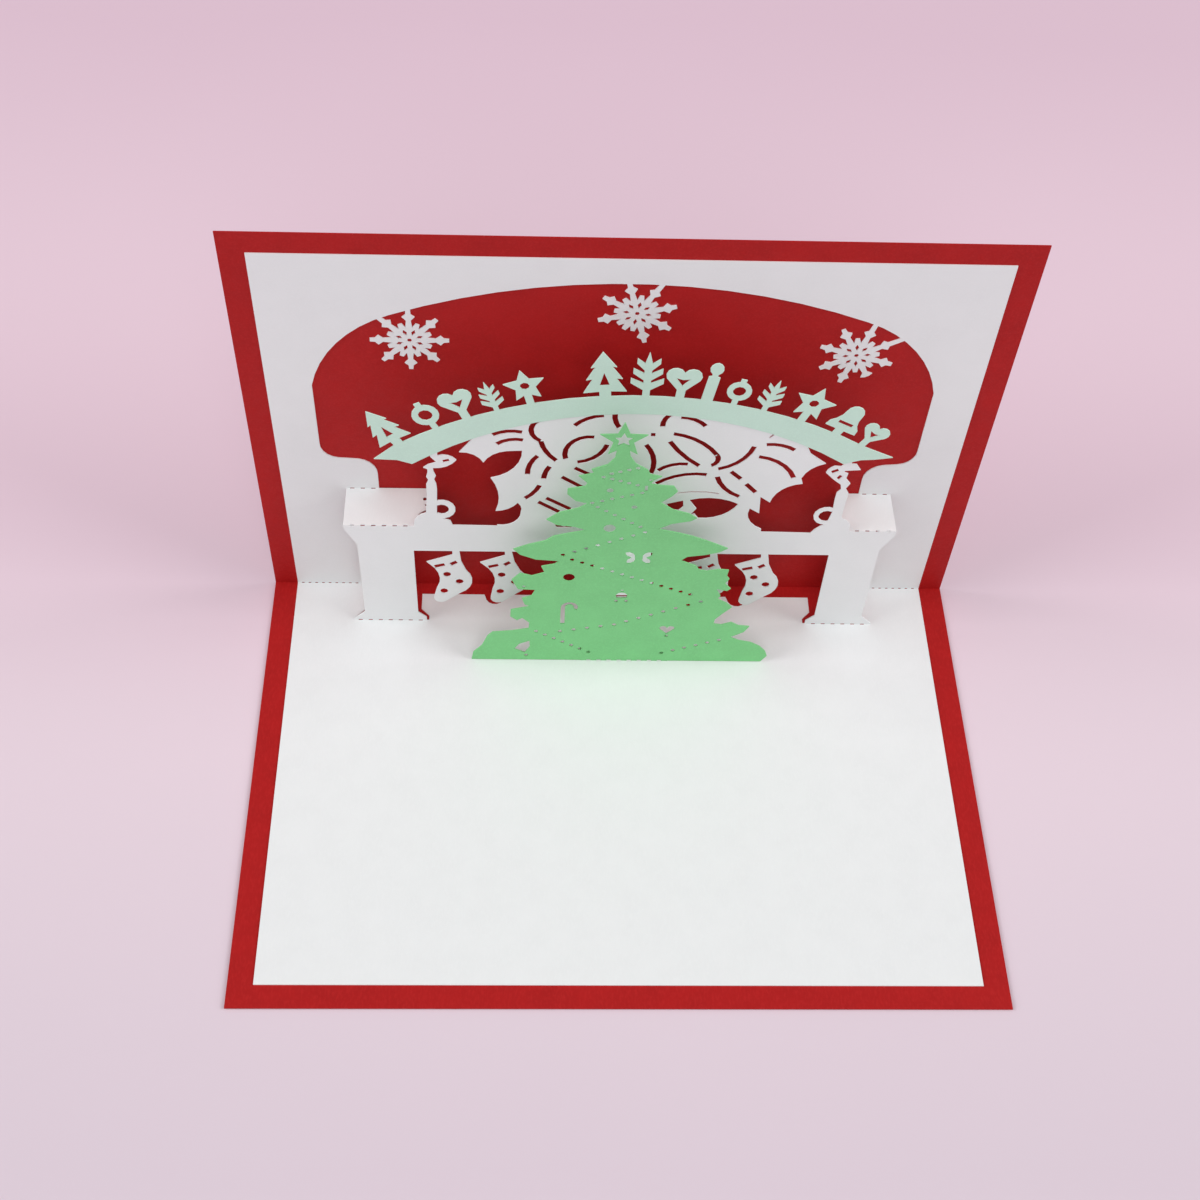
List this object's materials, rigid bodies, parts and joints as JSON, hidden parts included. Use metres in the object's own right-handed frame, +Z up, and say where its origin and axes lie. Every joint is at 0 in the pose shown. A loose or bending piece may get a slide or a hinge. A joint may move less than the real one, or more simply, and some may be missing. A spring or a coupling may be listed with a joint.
{
  "type": "pop-up greeting card",
  "caption": "Pop-up card standing open: red folded cover, white laser-cut inner sheet with a fireplace that folds out, mint ribbon and green fir tree.",
  "frame": {"origin": "middle of the flat underside of the base half of the cover", "axes": "+X along the spine, +Y from the open edge of the base towards the spine and the upright half, +Z up"},
  "size_m": [0.15, 0.1035, 0.0999],
  "materials": {
    "red_card": "matt coloured card",
    "white_paper": "smooth matt white paper, laser cut",
    "mint_paper": "matt pale mint paper, laser cut",
    "green_paper": "matt leaf-green paper, laser cut"
  },
  "bodies": {
    "root": {"cover": "red_card", "inner_sheet": "white_paper", "ribbon": "mint_paper", "tree": "green_paper", "tree_link": "white_paper"}
  },
  "joints": []
}
